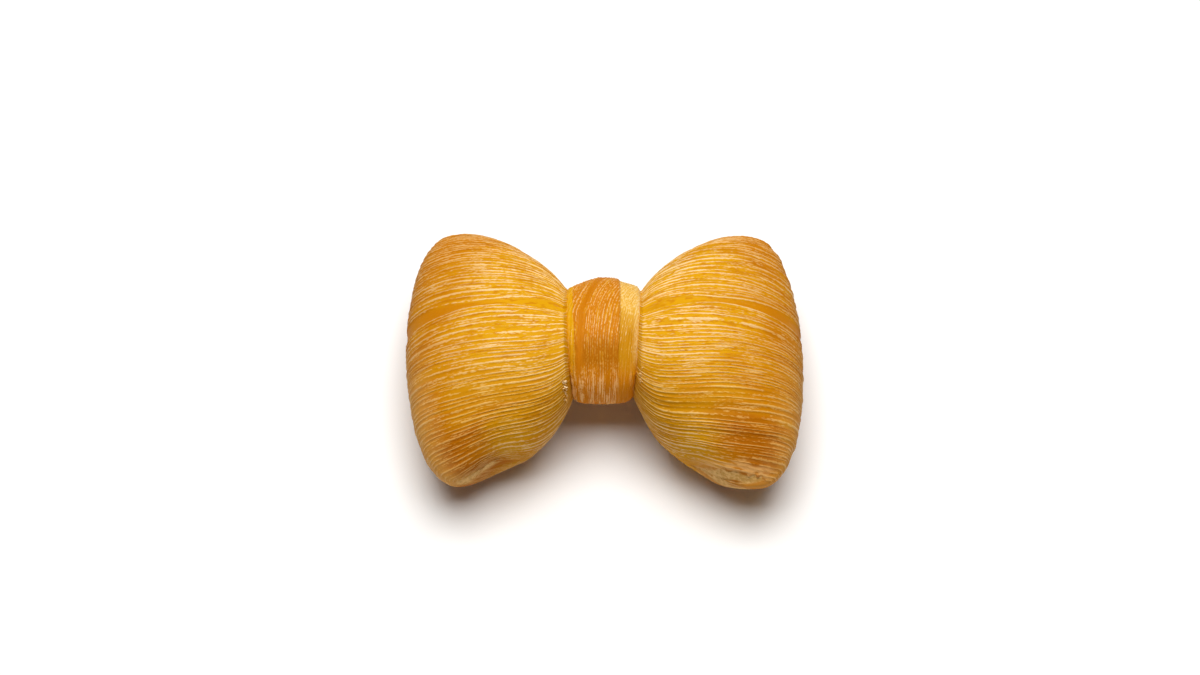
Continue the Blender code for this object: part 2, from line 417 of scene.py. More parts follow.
# %% Sheet
END_MARGIN = 6.0        # the folded ends lie on average this far inside the reach


def lobe_sheet(side):
    """Everything that says where a lobe's grid points lie on its sheet."""
    share, layer, phase, bare, broad = layer_columns(side)
    share, layer, phase, bare = share[None, :], layer[None, :], phase[None, :], bare[None, :]
    along, over, run = lobe_rows(side)
    broad_column = int(np.argmax(layer[0] == broad)) + 2
    x = GROOVE + along * (REACH - END_MARGIN - GROOVE)
    placed = routed_share(side, share, along, run, x, broad_column)
    smooth = np.isin(np.arange(share.size), broad_column + np.arange(-2, 4))[None, :]
    outwards = np.interp(along, along[:STATIONS, 0], run[:STATIONS, 0])
    uneven = soft_field(outwards, share * SHEET_HALF, 70.0, 55.0, 71 + side)
    return SimpleNamespace(side=side, share=share, layer=layer, phase=phase, bare=bare, along=along,
                           over=over, run=run, x=x, placed=placed, smooth=smooth, uneven=uneven)


sheets = {side: lobe_sheet(side) for side in (-1, 1)}
print("each lobe's grid has", sheets[1].placed.shape, "rows and columns")

# %% [markdown]
# ## Where the dough is bare
#
# Low on the near side the sheet is torn and drawn back over a short stretch of each lobe, and plain
# dough shows under its ragged edge. Underneath, the layers' edges reach round the folded end and in
# from the near side, and the rest of the foot is smooth.

# %% Bare dough
BARE_PATCH = {-1: (53.0, 6.5), 1: (43.5, 8.5)}      # around this X, this far each way
PATCH_UNEVEN = 3.0
TORN_BACK = {-1: 0.0, 1: 0.075}
TORN_RAGGED = 0.010
BARE_BELOW = {-1: (0.80, 0.90), 1: (0.55, 0.75)}    # bare underneath from one share to the other
UNDER_FADE = (0.62, 0.9)
WRAPPED_SHARE = (0.55, 0.75)
HEM_STRENGTH = {-1: 0.6, 1: 1.0}
SPOTS = [       # brown spots on the bare dough: X, share, reach in X, reach in share
    (46.9, -0.85, 1.8, 0.016),
    (49.0, -0.955, 2.2, 0.014),
    (39.5, -0.83, 1.4, 0.008),
]


def bare_masks(sheet):
    """How bare each point is, how far it is in the patch, how layered it is, and the torn edge."""
    middle, reach = BARE_PATCH[sheet.side]
    inside = np.exp(-((sheet.x - middle + PATCH_UNEVEN * sheet.uneven) / reach) ** 4)
    patch = inside * ease(-sheet.share, 0.0, 0.3)
    torn_edge = NEAR_EDGE[sheet.side] + TORN_BACK[sheet.side] * patch
    ragged = soft_field(sheet.run, sheet.placed * SHEET_HALF, 5.0, 3.0, 95 + sheet.side)
    torn = ease(torn_edge - sheet.placed + TORN_RAGGED * ragged, -0.005, 0.015)
    below = ease(-sheet.share, *BARE_BELOW[sheet.side]) * patch
    bare = np.maximum(sheet.bare, np.where(sheet.over, torn, below))
    wrapped = np.maximum(ease(sheet.along, *UNDER_FADE), ease(-sheet.share, *WRAPPED_SHARE))
    return bare, patch, (1.0 - bare) * np.where(sheet.over, 1.0, wrapped), torn_edge


def hem_mask(sheet, torn_edge):
    """The pale hem of the torn sheet: a bell across it, as long as the patch and a little more."""
    middle, reach = BARE_PATCH[sheet.side]
    hem = bump(sheet.placed, torn_edge + 0.03, 0.06) * np.exp(-((sheet.x - middle) / (reach + 4.0)) ** 4)
    return hem * HEM_STRENGTH[sheet.side]


def spot_mask(sheet):
    """Bells in both directions at each spot, on the right lobe only."""
    spots = sum(bump(sheet.x, middle, reach) * bump(sheet.placed, share, reach_across)
                for middle, share, reach, reach_across in SPOTS)
    return spots * (0.5 + 0.5 * sheet.side)


for side in (-1, 1):
    bare_share = float(bare_masks(sheets[side])[0].mean())
    print("side", side, "bare", round(100.0 * bare_share, 1), "% of the points")

# %% [markdown]
# ## Raising the ridges
#
# A ridge is a narrow bell over its layer, scaled by two random waves along the layer, a long and a
# short one, so edges swell, fade and break off as flaky dough does. Here and there a thinner ridge
# rises between two layers. A few long, low undulations make groups of layers stand together, and a
# broad one makes the whole lobe uneven. The torn sheet is a little thicker than the dough under it.

# %% Ridges
RIDGE_HEIGHT = 0.42
CREST_WIDTH = 0.15      # as a share of the layer
THIN_RIDGE_HEIGHT = 0.18
BROAD_SUNK = 0.12
GROUP_HEIGHT = 0.09
UNEVEN_HEIGHT = 0.12
MEAN_RELIEF = 0.05
NEAR_TRIM = {-1: 0.2, 1: 0.5}
FAR_TRIM = {-1: 0.2, 1: 0.35}
GRAIN_HEIGHT = 0.025
SHEET_LIP = {-1: 0.2, 1: 0.6}


def ridge_masks(sheet, laminated):
    """Bells on the layers' edges, and the thinner ridges between them, from 0 to 1."""
    side, layer, run = sheet.side, sheet.layer, sheet.run
    strength = 0.45 + 0.55 * ease(layer_field(layer, run, 34.0, 51 + side), -1.2, 0.6)
    strength = strength * (0.8 + 0.2 * ease(layer_field(layer, run, 7.0, 55 + side, 4), -1.0, 0.6))
    thin = ease(layer_field(layer, run, 24.0, 58 + side), -0.2, 1.4)
    crest = np.exp(-(sheet.phase / CREST_WIDTH) ** 2) * strength * laminated * (1.0 - 0.97 * sheet.smooth)
    between = (sheet.phase == LAYER_PHASES[0]) * thin * laminated * (1.0 - sheet.smooth)
    return crest, between


def relief_height(sheet, bare, patch, laminated, crest, between):
    """Height over the smooth lobe: ridges, groups, grain and unevenness, less the trim and the lip."""
    side, share, along = sheet.side, sheet.share, sheet.along
    group = soft_field(sheet.run, share * SHEET_HALF, 150.0, 6.0, 61 + side) * laminated
    grain = np.random.default_rng(81 + side).normal(0.0, GRAIN_HEIGHT, sheet.placed.shape)
    grain = grain * laminated * (1.0 - sheet.smooth)
    lower = 1.0 - 0.5 * ease(-sheet.placed, 0.35, 0.75)
    height = (RIDGE_HEIGHT * crest + THIN_RIDGE_HEIGHT * between) * lower + GROUP_HEIGHT * group + grain
    height = height * (0.35 + 0.65 * ease(along, 0.0, 0.2)) - BROAD_SUNK * sheet.smooth
    trim = NEAR_TRIM[side] * ease(-share, 0.45, 0.9) * ease(along, 0.45, 0.9)
    trim = trim + FAR_TRIM[side] * ease(share, 0.45, 0.85) * ease(along, 0.55, 0.95)
    height = height + UNEVEN_HEIGHT * sheet.uneven * ease(along, 0.05, 0.3)
    height = height * seam_fade(share) - MEAN_RELIEF - trim
    return height - SHEET_LIP[side] * bare * patch * (1.0 - bump(along, 1.0, 0.12))


crest = ridge_masks(sheets[1], bare_masks(sheets[1])[2])[0]
print("the right lobe's ridges rise up to", round(RIDGE_HEIGHT * float(crest.max()), 2), "mm")

# %% [markdown]
# ## Moving the points outwards
#
# A normal, found from the grid's own neighbours, says which way is outwards, and each point moves
# along it by the height of the relief. At the seams rows and columns run almost the same way, so
# their product says little. There the normal gives way to the direction from the lobe's middle.

# %% Lobe grid
LOBE_CENTRE = np.array([32.0, 0.0, 22.0])
SEAM_BLEND = (0.93, 0.99)
FLOOR_GAP = 0.02


def outward_normals(points, share, side):
    """Unit normals from the cross product of a grid's differences, turned outwards."""
    radial = points - LOBE_CENTRE * np.array([side, 1.0, 1.0])
    radial = radial / np.linalg.norm(radial, axis=2, keepdims=True)
    normal = np.cross(np.gradient(points, axis=0), np.gradient(points, axis=1))
    normal = normal / np.maximum(np.linalg.norm(normal, axis=2, keepdims=True), 1e-12)
    normal = normal * np.sign(np.sum(normal * radial, axis=2, keepdims=True))
    normal = normal + (radial - normal) * ease(np.abs(share), *SEAM_BLEND)[:, :, None]
    return normal / np.linalg.norm(normal, axis=2, keepdims=True)


def lobe_grid(sheet):
    """One lobe's points with their relief, their UV pairs, and the masks that its material reads."""
    bare, patch, laminated, torn_edge = bare_masks(sheet)
    crest, between = ridge_masks(sheet, laminated)
    height = relief_height(sheet, bare, patch, laminated, crest, between)
    points = lobe_surface(sheet.side, sheet.placed, sheet.along, sheet.over)
    points = points + outward_normals(points, sheet.share, sheet.side) * height[:, :, None]
    points[:, :, 2] = np.maximum(points[:, :, 2], FLOOR_GAP + 0.05 * crest)
    values = {
        "crest": crest + 0.4 * between,
        "tone": layer_field(sheet.layer, sheet.run, 30.0, 91 + sheet.side),
        "along": sheet.along,
        "share": sheet.placed,
        "under": (1.0 - sheet.over) * ease(sheet.along, 0.99, 0.75),
        "bare": bare * patch,
        "broad": sheet.smooth,
        "right_lobe": 0.5 + 0.5 * sheet.side,
        "hem": hem_mask(sheet, torn_edge),
        "spot": spot_mask(sheet),
    }
    values = {name: np.broadcast_to(value, sheet.placed.shape) for name, value in values.items()}
    uv = np.stack(np.broadcast_arrays(sheet.run / 10.0, (sheet.layer + sheet.phase) / 10.0), axis=2)
    return points, uv, values


grids = {side: lobe_grid(sheets[side]) for side in (-1, 1)}
print("masks:", ", ".join(grids[1][2]))

# %% [markdown]
# ## Closing a lobe under the band
#
# Beside the band the dough curls inwards and the two lobes join through a narrow waist that the band
# hides. Each lobe's grid is led in through that throat and closed at the middle of the waist. Its
# first and last rows are then one row, and its two outer columns are the seam along its sides.

# %% Throat and lobe pieces
BAND_SHIFT = (band_high[1] + band_low[1]) / 2.0
BAND_MIDDLE = (band_high[2] + band_low[2]) / 2.0
BAND_HALF_DEPTH = (band_high[1] - band_low[1]) / 2.0
BAND_HALF_HEIGHT = (band_high[2] - band_low[2]) / 2.0
BAND_POWER = 2.3
THROAT_INSET = 5.3
THROAT_CURL = 1.8
THROAT_ROUND = 1.6
THROAT_ROWS = 10
WAIST_GAP = 0.03        # from the middle plane


def throat_rows(side, share, ring, over):
    """Rows from the middle of the waist out to a lobe's first ring.

    The last rows run out on a slant, closer together towards the lobe, so its end is cut back a
    little from the band.
    """
    angle = sheet_angle(share, GROOVE, over)
    y, z = superellipse(angle, BAND_HALF_DEPTH - THROAT_INSET, BAND_HALF_HEIGHT - THROAT_INSET,
                        BAND_HALF_HEIGHT - THROAT_INSET, BAND_POWER)
    inner = np.stack([ring[:, 0] - side * THROAT_CURL, BAND_SHIFT + y, BAND_MIDDLE + z], axis=1)
    turn = np.linspace(0.0, np.pi / 2.0, THROAT_ROWS + 1)[:-1, None, None]
    shoulder = inner[None] + (ring - inner)[None] * np.sin(turn)
    shoulder[:, :, 0] = ring[None, :, 0] - side * THROAT_CURL * (1.0 - np.sin(turn[:, :, 0]) ** THROAT_ROUND)
    tube = inner.copy()
    tube[:, 0] = side * WAIST_GAP
    chord = tube.copy()
    chord[:, 2] = np.interp(share, [share[0], share[-1]], [tube[0, 2], tube[-1, 2]])
    return np.concatenate([chord[None], tube[None], shoulder])


def closed_numbers(rows, columns):
    """Point numbers of a grid whose first and last rows are one, and whose outer columns fold together."""
    numbers = np.arange(rows * columns).reshape(rows, columns)
    numbers[-1] = numbers[0]
    half = rows // 2
    for column in (0, -1):
        numbers[-half:, column] = numbers[:half, column][::-1]
    return numbers


def make_lobe(name, side):
    """A lobe's grid, led in through the throat at both ends and closed."""
    points, uv, values = grids[side]
    share = sheets[side].share[0]
    before = throat_rows(side, share, points[0], True)
    after = throat_rows(side, share, points[-1], False)[::-1]
    rows = len(before)
    points = np.concatenate([before, points, after])
    pad = ((rows, rows), (0, 0))
    values = {key: np.pad(value, pad, mode="edge") for key, value in values.items()}
    values["crest"][:rows] *= np.linspace(0.0, 1.0, rows)[:, None]
    uv = np.pad(uv, pad + ((0, 0),), mode="edge")
    numbers = closed_numbers(*points.shape[:2])
    used, numbers = weld(numbers)
    faces = quads(numbers)
    if side > 0:
        faces = faces[:, ::-1]
    flat = {key: value.reshape(-1)[used] for key, value in values.items()}
    return mesh_piece(name, points.reshape(-1, 3)[used], faces, uv.reshape(-1, 2)[used], flat)


lobes = {side: make_lobe(name, side) for name, side in (("bow_left", -1), ("bow_right", 1))}

# %% [markdown]
# ## The band's shape
#
# The band is a second strip of the same dough, wrapped once round the waist. It is higher in its
# middle than along its edges. A strip at its right lies a step lower, and a narrow one at its left
# lies a little lower. Its layers run round it, and behind the top they lean over, because it was
# laid on at a slant. It is one closed ring: a profile across the strip, carried round the waist on
# a superellipse, with the inner side hidden.

# %% Band shape
BAND_HALF_WIDTH = (band_high[0] - band_low[0]) / 2.0
BAND_CROWN, BAND_ROUND, BAND_THICK = 2.4, 1.2, 5.0
BAND_INSIDE = 0.3
STEP_RIGHT, STEP_LEFT = 5.4, -9.8
STEP_DROP = {1: 0.5, -1: 0.1}
TOP_DROP, LEFT_SHOULDER = 0.35, 1.3
LEAN, LEAN_BEHIND, LEAN_POWER = 9.0, math.radians(15.0), 4.4
BAND_ROWS, FACE_COLUMNS, EDGE_COLUMNS = 264, 150, 7


def band_profile():
    """The profile across the strip: X, and depth below its outer face, as a closed outline."""
    turn = np.linspace(0.0, np.pi / 2.0, EDGE_COLUMNS + 1)[:-1]
    edge = BAND_HALF_WIDTH - BAND_ROUND * (1.0 - np.cos(turn))
    rounding = BAND_ROUND * (1.0 - np.sin(turn))
    face = np.linspace(BAND_ROUND - BAND_HALF_WIDTH, BAND_HALF_WIDTH - BAND_ROUND, FACE_COLUMNS)
    inner = np.array([BAND_HALF_WIDTH, 0.0, -BAND_HALF_WIDTH])
    x = np.concatenate([-edge, face, edge[::-1], inner])
    depth = np.concatenate([rounding, np.zeros(FACE_COLUMNS), rounding[::-1], np.full(3, BAND_THICK)])
    return x, depth


def lean(angle):
    """How far the layers lean to the right: a bell of the cosine, highest near the far side."""
    return LEAN * ((1.0 + np.cos(angle - LEAN_BEHIND)) / 2.0) ** LEAN_POWER


profile_x, profile_depth = band_profile()
print("band profile", len(profile_x), "points, lean at the top", round(float(lean(np.pi / 2.0)), 1), "mm")

# %% [markdown]
# ## The band's layers and steps
#
# Here the columns don't follow the layers, because the layers lean while the strip's edges don't.
# The columns are so close that each layer still gets about five. The steps between the strips fade
# out low on the near side, where the band was pressed on, and the edges are frayed. Angles go round
# the band from the far side over the top, at 90 degrees, to the near side and the underside.

# %% Band layers
BAND_LAYERS = 38
BAND_LAYER_REACH, BAND_LAYER_SHIFT = 16.0, -4.0
STREAK_PLACE, STREAK_WIDTH = -8.3, 1.1
EDGE_SHARPNESS = {1: (-0.4, 0.5), -1: (0.3, -0.3)}


def between_angles(angle, low, high):
    """A smooth step from 0 to 1 between two angles in degrees, or from 1 to 0 if low is the larger."""
    return ease(angle, math.radians(low), math.radians(high))


def band_layers(x):
    """The layer number and the place within it, from -0.5 to 0.5, for each leaned X."""
    widths = random_widths(5, BAND_LAYERS, 0.3, 0.55, 1.8)
    edges = np.concatenate([[0.0], np.cumsum(widths)]) / widths.sum()
    edges = (2.0 * edges - 1.0) * BAND_LAYER_REACH + BAND_LAYER_SHIFT
    layer = np.clip(np.searchsorted(edges, x) - 1, 0, BAND_LAYERS - 1)
    return layer, np.clip((x - edges[layer]) / (edges[layer + 1] - edges[layer]) - 0.5, -0.5, 0.5)


def band_strip():
    """Everything that says where the band's grid points lie: round it, across it and on its layers."""
    x, thickness = profile_x[None, :], profile_depth[None, :]
    angle = np.linspace(0.0, 2.0 * np.pi, BAND_ROWS, endpoint=False)[:, None]
    run = angle * (BAND_HALF_DEPTH + BAND_HALF_HEIGHT) / 2.0
    closing = np.sin(angle / 2.0) ** 0.25       # quiets the random waves where the ring's ends meet
    wave = 0.12 * soft_field(run, x, 30.0, 12.0, 301) * closing
    leaned = x - lean(angle) + wave
    layer, phase = band_layers(leaned)
    low = between_angles(angle, 135.0, 165.0) * between_angles(angle, 330.0, 290.0)
    right = ease(x + 0.3 * wave, *(STEP_RIGHT + blur for blur in EDGE_SHARPNESS[1]))
    left = ease(x + 0.5 * wave, *(STEP_LEFT + blur for blur in EDGE_SHARPNESS[-1]))
    streak = bump(leaned, STREAK_PLACE, STREAK_WIDTH * (1.0 + 0.5 * low))
    return SimpleNamespace(x=x, thickness=thickness, angle=angle, run=run, closing=closing, layer=layer,
                           phase=phase, low=low, right=right, left=left, streak=streak,
                           shown=np.where(thickness < BAND_THICK, 1.0, 0.0))


strip = band_strip()
print("the band's grid has", strip.layer.shape, "rows and columns, and it runs round",
      round(float(strip.run[-1, 0]), 1), "mm")

# %% [markdown]
# ## The band's relief
#
# The layers' edges are bells again. The depth of every point below a superellipse adds up: the
# strip's own profile, the crown towards its edges, a shoulder that drops behind the top and most at
# the left, the two steps, and the fraying of its edges. Where the band was pressed on, the steps are
# gone and the crown keeps to the very edges.

# %% Band relief
BAND_RIDGE_HEIGHT, BAND_CREST_WIDTH = 0.30, 0.19
BAND_UNEVEN, BAND_SUNK = 0.2, 0.25
BAND_GRAIN, FRAYED = 0.03, 0.10
EDGE_WAVE, EDGE_SHIVER = 0.012, 0.006


def band_crests():
    """Bells on the band's layers, weaker along random stretches and on the smooth streak."""
    strength = 0.55 + 0.45 * ease(layer_field(strip.layer, strip.run, 24.0, 311), -1.0, 0.7)
    strength = strength * (0.75 + 0.25 * ease(layer_field(strip.layer, strip.run, 4.0, 312), -0.8, 0.6))
    crest = np.exp(-(strip.phase / BAND_CREST_WIDTH) ** 2) * strength * strip.shown
    return crest * (1.0 - 0.9 * strip.streak)


def band_depth(crest):
    """Depth below the superellipse: profile, crown, shoulder and steps, less ridges, plus fraying."""
    x, angle, shown = strip.x, strip.angle, strip.shown
    outwards = (x / BAND_HALF_WIDTH) ** 2
    behind = between_angles(angle, 290.0, 350.0)
    pressed = between_angles(angle, 95.0, 175.0) * (1.0 - behind)
    crown = BAND_CROWN * outwards * (1.0 - pressed * (1.0 - outwards ** 2))
    shoulder = TOP_DROP + LEFT_SHOULDER * ease(-x, 0.5, 10.0)
    shoulder = shoulder * (between_angles(angle, 105.0, 50.0) + behind)
    steps = (strip.right * STEP_DROP[1] + strip.left * STEP_DROP[-1]) * (1.0 - pressed)
    fine = 1.0 - 0.55 * strip.right
    grain = np.random.default_rng(321).normal(0.0, BAND_GRAIN, crest.shape) * shown
    uneven = soft_field(strip.run, x, 40.0, 16.0, 331) * strip.closing * shown
    frayed = np.random.default_rng(341).normal(0.0, FRAYED, crest.shape) * ease(np.abs(x), 10.0, 12.0) * shown
    depth = strip.thickness + (crown + shoulder + steps) * shown - BAND_RIDGE_HEIGHT * crest * fine
    return depth - BAND_UNEVEN * uneven * (1.0 - 0.7 * strip.low) - grain + frayed + BAND_SUNK * shown


def band_grid():
    """The ring's points, their UV pairs, and the masks that its material reads."""
    x, angle, run = strip.x, strip.angle, strip.run
    crest = band_crests()
    depth = band_depth(crest)
    height = BAND_HALF_HEIGHT - depth
    y, z = superellipse(angle, BAND_HALF_DEPTH - depth, height, height, BAND_POWER)
    edge_wave = 1.0 + EDGE_WAVE * soft_field(run, 0.0 * x, 9.0, 1.0, 351)
    edge_wave = edge_wave + EDGE_SHIVER * soft_field(run, 0.0 * x, 2.5, 1.0, 352)
    across = x * (1.0 - BAND_INSIDE / BAND_HALF_WIDTH) * (1.0 - band_narrowing(angle)) * edge_wave
    points = np.stack(np.broadcast_arrays(BAND_ASIDE + across, BAND_SHIFT + y, BAND_MIDDLE + z), axis=2)
    values = {
        "crest": crest,
        "tone": layer_field(strip.layer, run, 20.0, 361),
        "around": np.minimum(angle, 4.0 * (2.0 * np.pi - angle)) / (2.0 * np.pi),
        "right": strip.right,
        "left": strip.left,
        "streak": strip.streak,
        "low": strip.low,
        "across": x / BAND_HALF_WIDTH,
    }
    values = {name: np.broadcast_to(value, crest.shape) for name, value in values.items()}
    uv = np.stack(np.broadcast_arrays(run / 10.0, (strip.layer + strip.phase) / 10.0), axis=2)
    return points, uv, values


def make_band():
    """The band's grid, closed both ways by wrapping its point numbers round."""
    points, uv, values = band_grid()
    rows, columns = points.shape[:2]
    numbers = np.arange(rows * columns).reshape(rows, columns)
    numbers = np.pad(numbers, ((0, 1), (0, 1)), mode="wrap")
    flat = {name: value.reshape(-1) for name, value in values.items()}
    return mesh_piece("band_wrap", points.reshape(-1, 3), quads(numbers)[:, ::-1], uv.reshape(-1, 2), flat)


band = make_band()

# %% [markdown]
# ## Crumbs where the band bites
#
# Where the band squeezes the bow, the layers' edges break and leave crumbs and shreds in the joint.
# Each is an eight-sided grain, flattened and turned at random, on the dough right beside the band.
# Most lie low on the left and a few low on the right.

# %% Crumbs
CRUMB_SPOTS = [      # side, share from and to, how many
    (-1, -0.52, -0.34, 30),
    (1, -0.38, -0.26, 12),
]
CRUMB_SIZES = (0.3, 0.9)
CRUMB_FLATNESS = np.array([1.0, 0.45, 0.3])
CRUMB_RISE, CRUMB_SPREAD = 0.3, 0.014
CRUMB_CORNERS = np.array([[1, 0, 0], [-1, 0, 0], [0, 1, 0], [0, -1, 0], [0, 0, 1], [0, 0, -1]], float)
CRUMB_FACES = np.array([[0, 2, 4], [2, 1, 4], [1, 3, 4], [3, 0, 4],
                        [2, 0, 5], [1, 2, 5], [3, 1, 5], [0, 3, 5]])


def random_turns(rng, count):
    """Random rotations: the orthogonal factor of random square matrices, mirrored ones flipped."""
    turns = np.linalg.qr(rng.normal(size=(count, 3, 3)))[0]
    return turns * np.sign(np.linalg.det(turns))[:, None, None]


def make_crumbs():
    """All the crumbs as one piece: random places on the dough's last millimetre beside the band."""
    rng = np.random.default_rng(401)
    places = []
    for side, low, high, count in CRUMB_SPOTS:
        share = rng.uniform(low, high, (count, 1))
        along = np.abs(rng.normal(0.0, CRUMB_SPREAD, (count, 1)))
        places.append(lobe_surface(side, share, along, True, CRUMB_RISE)[:, 0])
    places = np.concatenate(places)
    count = len(places)
    sizes = rng.uniform(*CRUMB_SIZES, (count, 1, 1)) * CRUMB_FLATNESS
    corners = CRUMB_CORNERS * rng.uniform(0.6, 1.3, (count, 6, 1)) * sizes
    points = np.einsum("nij,nkj->nki", random_turns(rng, count), corners) + places[:, None, :]
    faces = CRUMB_FACES[None] + 6 * np.arange(count)[:, None, None]
    values = {"pale": np.repeat(rng.uniform(0.0, 1.0, count), 6)}
    uv = np.zeros((6 * count, 2))
    return mesh_piece("crumbs", points.reshape(-1, 3), faces.reshape(-1, 3), uv, values)


crumbs = make_crumbs()
crumbs.data.shade_flat()

# %% [markdown]
# ## Materials as expressions
#
# A baked surface is a recipe of masks and colours. Wrapping a node's output in a small class lets the
# recipe be written as ordinary sums and products. Anything that isn't plain arithmetic, such as a
# noise or a ramp, comes from one method that makes a node, sets it up and fills its inputs.

# %% Recipe and signal


class Signal:
    """A node's output that can be added, subtracted and multiplied like a number."""

    def __init__(self, recipe, socket):
        self.recipe, self.socket = recipe, socket

    def math(self, operation, *others):
        inputs = {place: value for place, value in enumerate(others)}
        return self.recipe.node("ShaderNodeMath", {"operation": operation}, inputs)

    def __add__(self, other):
        return self.math("ADD", self, other)

    def __sub__(self, other):
        return self.math("SUBTRACT", self, other)

    def __rsub__(self, other):
        return self.math("SUBTRACT", other, self)

    def __mul__(self, other):
        return self.math("MULTIPLY", self, other)

    __radd__, __rmul__ = __add__, __mul__

    def between(self, low, high):
        """0 below low and 1 above high, in a straight line between."""
        settings = {"clamp": True}
        return self.recipe.node("ShaderNodeMapRange", settings,
                                {"Value": self, "From Min": low, "From Max": high})


class Recipe:
    """A material with one Principled shader, and the nodes that feed it."""

    def __init__(self, name):
        self.material = bpy.data.materials.new(name)
        self.material.use_nodes = True
        self.tree = self.material.node_tree
        self.shader = self.tree.nodes["Principled BSDF"]

    def fill(self, socket, value):
        if isinstance(value, Signal):
            self.tree.links.new(value.socket, socket)
        elif socket.type == "RGBA":
            socket.default_value = (*value[:3], 1.0)
        else:
            socket.default_value = value

    def node(self, kind, settings=None, inputs=None, output=0):
        """Any node: its settings first, then the values or signals of its inputs."""
        made = self.tree.nodes.new(kind)
        for name, value in (settings or {}).items():
            setattr(made, name, value)
        for name, value in (inputs or {}).items():
            self.fill(made.inputs[name], value)
        return Signal(self, made.outputs[output])

    def mask(self, name):
        """A value that the mesh holds per point."""
        return self.node("ShaderNodeAttribute", {"attribute_name": name}, output="Fac")

    def noise(self, vector, scale, detail=2.0, roughness=0.5):
        inputs = {"Vector": vector, "Scale": scale, "Detail": detail, "Roughness": roughness}
        return self.node("ShaderNodeTexNoise", {"noise_dimensions": "3D"}, inputs, "Fac")

    def drawn_out(self, uv, along, across, detail=2.0, roughness=0.5, scale=1.0):
        """Noise drawn out along the layers: finer across them than along them."""
        amounts = {0: uv, 1: (along, across, 1.0)}
        stretched = self.node("ShaderNodeVectorMath", {"operation": "MULTIPLY"}, amounts)
        return self.noise(stretched, scale, detail, roughness)

    def mix(self, first, second, factor):
        """Colour from first to second as factor goes from 0 to 1."""
        return self.node("ShaderNodeMix", {"data_type": "RGBA"}, {0: factor, 6: first, 7: second}, 2)

    def set(self, name, value):
        self.fill(self.shader.inputs[name], value)

    def glaze(self, uv, colour, shine, coat_roughness):
        """Finish an egg-washed dough: soft below, a thin coat where it shines, and a fine grain."""
        self.set("Base Color", colour)
        self.set("Roughness", 0.5)
        self.set("Specular IOR Level", 0.03)
        self.set("Coat Weight", shine)
        self.set("Coat Roughness", coat_roughness)
        grain = self.drawn_out(uv, 9.0, 60.0)
        bump_inputs = {"Height": grain, "Strength": 0.25, "Distance": 0.0003}
        self.set("Normal", self.node("ShaderNodeBump", None, bump_inputs))


print("a recipe can", ", ".join(name for name in vars(Recipe) if not name.startswith("_")))

# %% [markdown]
# ## The look of the layers
#
# Egg-washed dough bakes golden yellow between the edges of the layers and leaves the edges
# themselves pale. It turns amber towards the near side, partly by browning and partly as painted
# shade, since the near side gets less light. It turns orange towards the folded ends and deep brown
# low on the near corners, where the dough lay closest to the hot tray. Low on the near side beside
# the waist the amber and the deep brown are held back, a painted light there. So three masks say how
# far it has baked, with the painted shade and light in them, and each picks a colour for the dough
# between the edges and one for the edges.

# %% Baked colours
GOLD, CREAM = (0.62, 0.300, 0.003), (0.75, 0.50, 0.22)
AMBER, WHEAT = (0.48, 0.200, 0.002), (0.63, 0.36, 0.065)
ORANGE, TAN = (0.50, 0.175, 0.002), (0.63, 0.335, 0.095)
DEEP, DEEP_TAN = (0.35, 0.098, 0.001), (0.55, 0.26, 0.055)


def bakes(along, share, right_lobe, patch, tone):
    """How far the dough has turned amber, with painted shade on the near side, orange and deep brown, each
    from 0 to 1.
    """
    # Painted light: low on the near side beside the waist, these two masks hold the amber and the deep brown
    # back, so the dough stays lighter where it lies in shade.
    golden = share.between(-0.45, -0.75) * along.between(0.6, 0.3) * (right_lobe * 0.3 + 0.6)
    painted_light_low_waist = share.between(-0.6, -0.78) * along.between(0.85, 0.5)
    # Amber towards the near side: partly browning, partly painted shade where the near side gets less light.
    amber = share.between(-0.12, -0.42) * (1.0 - golden) * (1.0 - painted_light_low_waist * 0.7)
    orange = (along.between(0.45, 0.85) * 0.85 + share.between(0.42, 0.85) * 0.5
              + share.between(-0.45, -0.85) * 0.4 + (1.0 - right_lobe) * share.between(0.35, 0.7) * 0.35
              + patch * 0.7 + tone * 0.13)
    outer = along.between(0.35, 0.6) * along.between(1.0, 0.86)
    deep = share.between(-0.42, -0.72) * outer * 1.2 + amber * outer * right_lobe * 0.2
    deep = deep + patch * 0.7 + tone * 0.15
    return amber, orange.between(0.0, 1.0), deep.between(0.1, 1.0) * (1.0 - painted_light_low_waist)


def baked(recipe, colours, amounts):
    """The first colour, covered by each next one in turn as far as its amount says."""
    colour = colours[0]
    for cover, amount in zip(colours[1:], amounts):
        colour = recipe.mix(colour, cover, amount)
    return colour


print("gold, amber, orange and deep brown:", GOLD, AMBER, ORANGE, DEEP)

# %% [markdown]
# ## The look of the bare dough
#
# Under the torn sheet the dough had no egg wash, so it is dull, pale tan and finely speckled. A few
# brown spots lie on it, at places of their own on the right lobe and at random on both.

# %% Bare colours
BARE, BARE_PALE, SPOT = (0.52, 0.28, 0.07), (0.70, 0.43, 0.15), (0.42, 0.13, 0.003)
HEM_TAN, RIM_ORANGE, BASE_BROWN = (0.68, 0.38, 0.13), (0.50, 0.17, 0.004), (0.42, 0.15, 0.02)


def plain_dough(recipe, place, fibre):
    """Two tans in fine speckles, under spots from a coarser noise and from the spots' own mask."""
    speckle = recipe.noise(place, 900.0, 2.0, 0.6).between(0.4, 0.62)
    spots = (recipe.noise(place, 330.0, 3.0, 0.6) + fibre * 0.15).between(0.6, 0.66) * 0.6
    spots = (spots + recipe.mask("spot") + fibre * 0.3).between(0.1, 0.7)
    return baked(recipe, (BARE, BARE_PALE, SPOT), (speckle, spots * 0.9))


print("bare dough from", BARE, "to", BARE_PALE)

